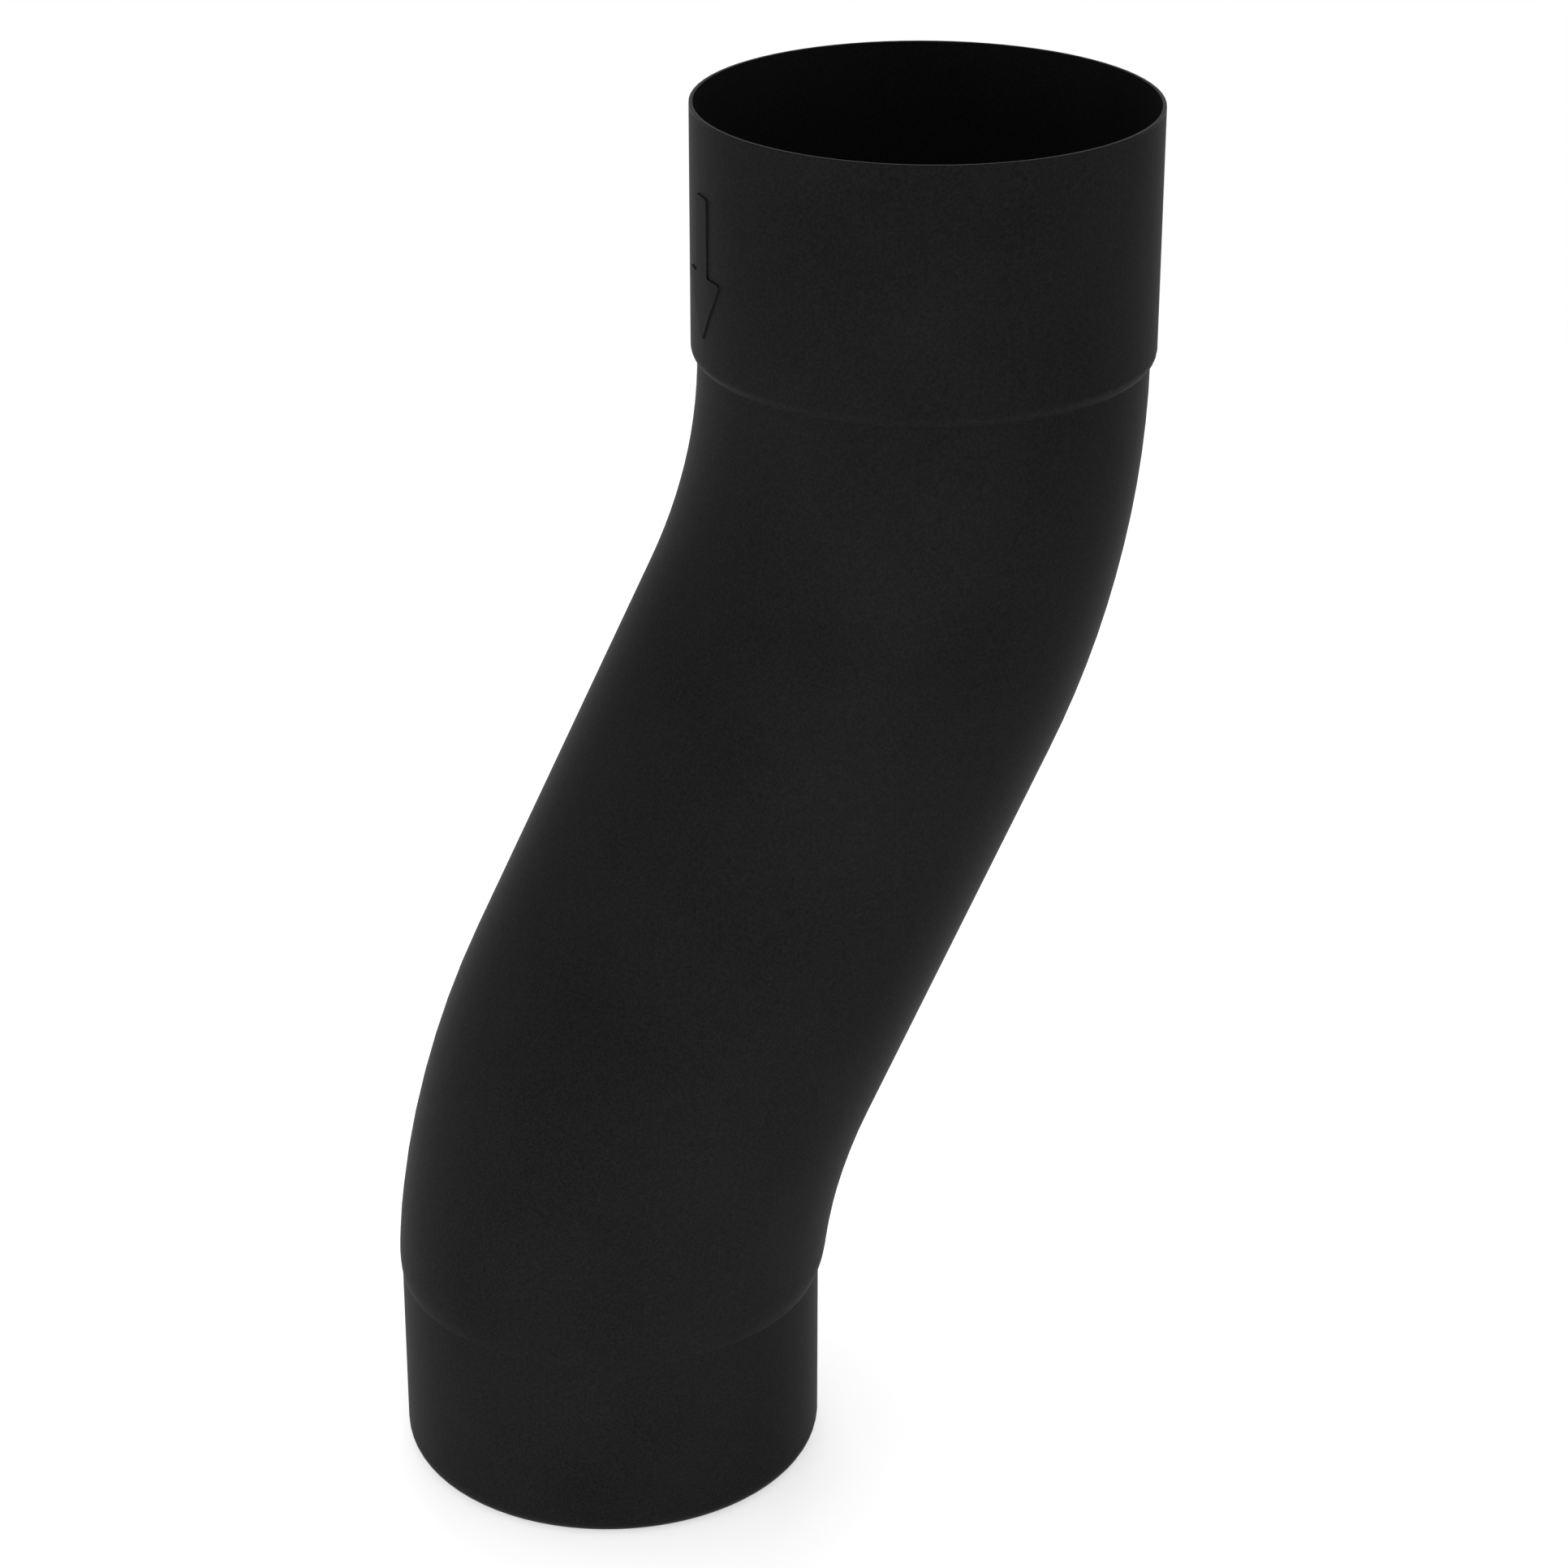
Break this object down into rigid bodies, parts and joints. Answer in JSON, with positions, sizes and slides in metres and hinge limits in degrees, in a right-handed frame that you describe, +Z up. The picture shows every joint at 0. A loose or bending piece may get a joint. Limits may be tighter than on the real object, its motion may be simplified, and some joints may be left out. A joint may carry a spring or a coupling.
{
  "type": "downpipe plinth bend",
  "caption": "Swept offset bend in coated sheet metal for a round downpipe, with a widened socket above and a narrowed spigot below.",
  "frame": {"origin": "on the spigot's axis, at the foot of the spigot's shoulder, where the pipe below ends", "axes": "+Z up along the spigot towards the socket, +X from the spigot's axis towards the socket's axis, +Y completes the right-handed frame; the bends lie in the XZ plane"},
  "size_m": [0.1418, 0.0822, 0.2542],
  "materials": {
    "coated_sheet": "satin black coating on formed sheet steel"
  },
  "bodies": {
    "root": {"plinth_bend": "coated_sheet"}
  },
  "joints": []
}
